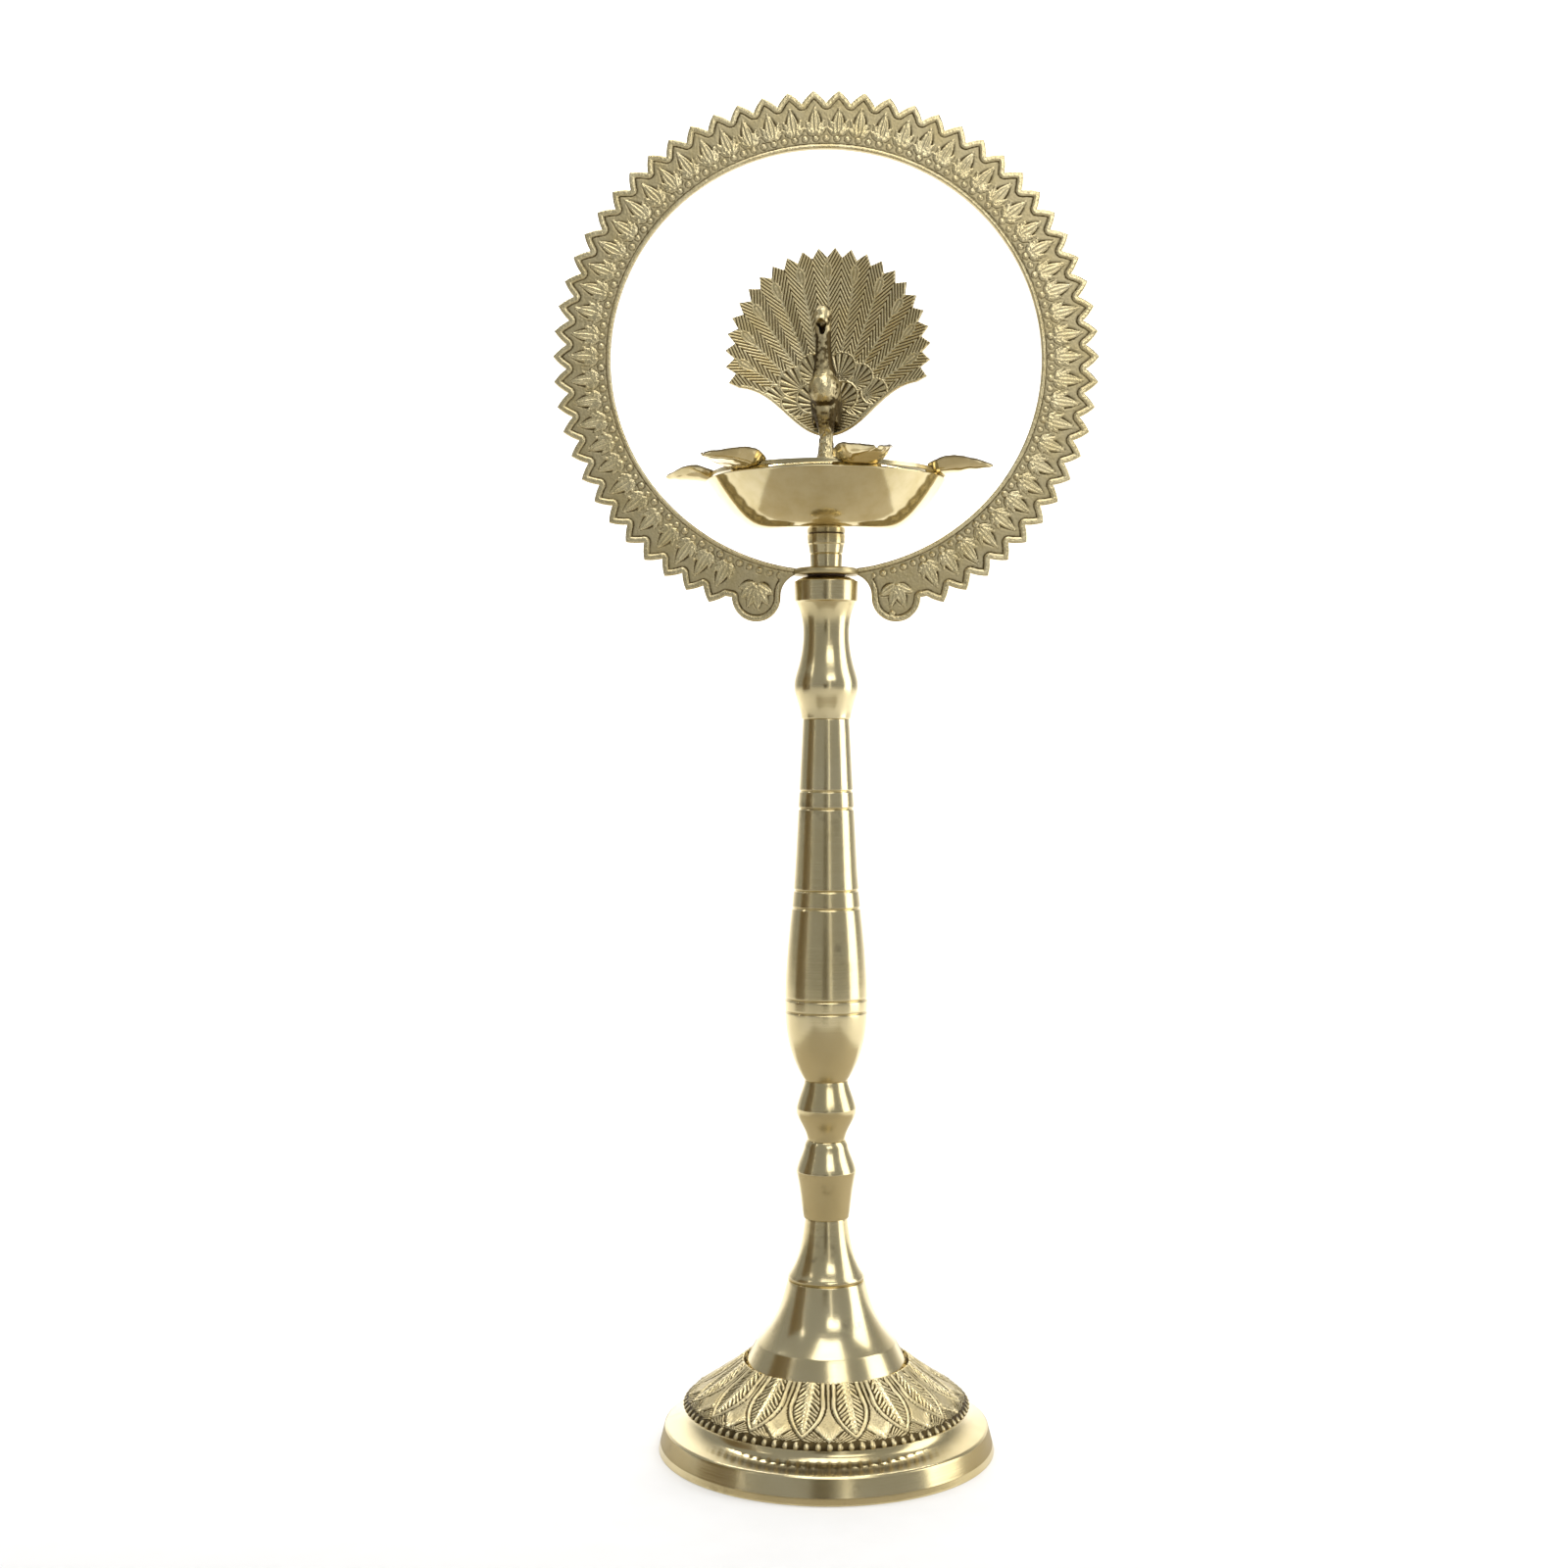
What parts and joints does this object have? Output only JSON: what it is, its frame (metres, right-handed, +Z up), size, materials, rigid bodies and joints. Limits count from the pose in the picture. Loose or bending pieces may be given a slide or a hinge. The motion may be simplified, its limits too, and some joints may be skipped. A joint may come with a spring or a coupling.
{
  "type": "standing oil lamp",
  "caption": "Standing brass oil lamp: turned column on a lotus foot, wick bowl with spouts, peacock finial inside a toothed halo.",
  "frame": {"origin": "centre of the foot on the floor", "axes": "+Z up the column, +X along the halo's plane to the right of a viewer who faces the lamp, +Y away from that viewer"},
  "size_m": [0.246, 0.1506, 0.6099],
  "materials": {
    "turned_brass": "polished",
    "cast_brass": "as cast, brushed",
    "rod_steel": "zinc plated",
    "washer_leather": "oiled"
  },
  "bodies": {
    "stand": {"foot_ring": "turned_brass", "lotus_skirt": "cast_brass", "base_cone": "turned_brass", "base_neck": "turned_brass", "lower_knop": "turned_brass", "upper_knop": "turned_brass", "shaft": "turned_brass", "capital": "turned_brass", "tie_rod": "rod_steel", "clamp_bar": "rod_steel", "clamp_washer": "rod_steel", "clamp_nut": "rod_steel", "halo_washer": "washer_leather"},
    "halo_ring": {"halo": "cast_brass"},
    "stem_seat": {"stem_washer": "washer_leather"},
    "stem": {"bowl_stem": "turned_brass", "bowl_washer": "washer_leather", "post_washer": "washer_leather", "bowl_post": "turned_brass"},
    "bowl": {"oil_bowl": "turned_brass"},
    "finial_seat": {"finial_washer": "washer_leather"},
    "peacock": {"peacock_body": "cast_brass", "peacock_tail": "cast_brass", "tail_rivets": "turned_brass"}
  },
  "joints": [
    {"name": "halo_swivel", "type": "hinge", "parent": "stand", "child": "halo_ring", "pos_m": [0, 0, 0.3918], "axis": [0, 0, 1], "continuous": true},
    {"name": "stem_lift", "type": "slide", "parent": "stand", "child": "stem_seat", "axis": [0, 0, 1], "range_m": [0, 0.01375]},
    {"name": "stem_turn", "type": "hinge", "parent": "stem_seat", "child": "stem", "pos_m": [0, 0, 0.3953], "axis": [0, 0, 1], "range_deg": [0, 3960.5]},
    {"name": "bowl_swivel", "type": "hinge", "parent": "stem", "child": "bowl", "pos_m": [0, 0, 0.4106], "axis": [0, 0, 1], "continuous": true},
    {"name": "finial_lift", "type": "slide", "parent": "stem", "child": "finial_seat", "axis": [0, 0, 1], "range_m": [0, 0.00875]},
    {"name": "finial_turn", "type": "hinge", "parent": "finial_seat", "child": "peacock", "pos_m": [0, 0, 0.438], "axis": [0, 0, 1], "range_deg": [0, 2520.5]}
  ],
  "couplings": [
    {"joint": "stem_turn", "follows": "stem_lift", "rad_per_m": 5026.5},
    {"joint": "finial_turn", "follows": "finial_lift", "rad_per_m": 5026.5}
  ]
}
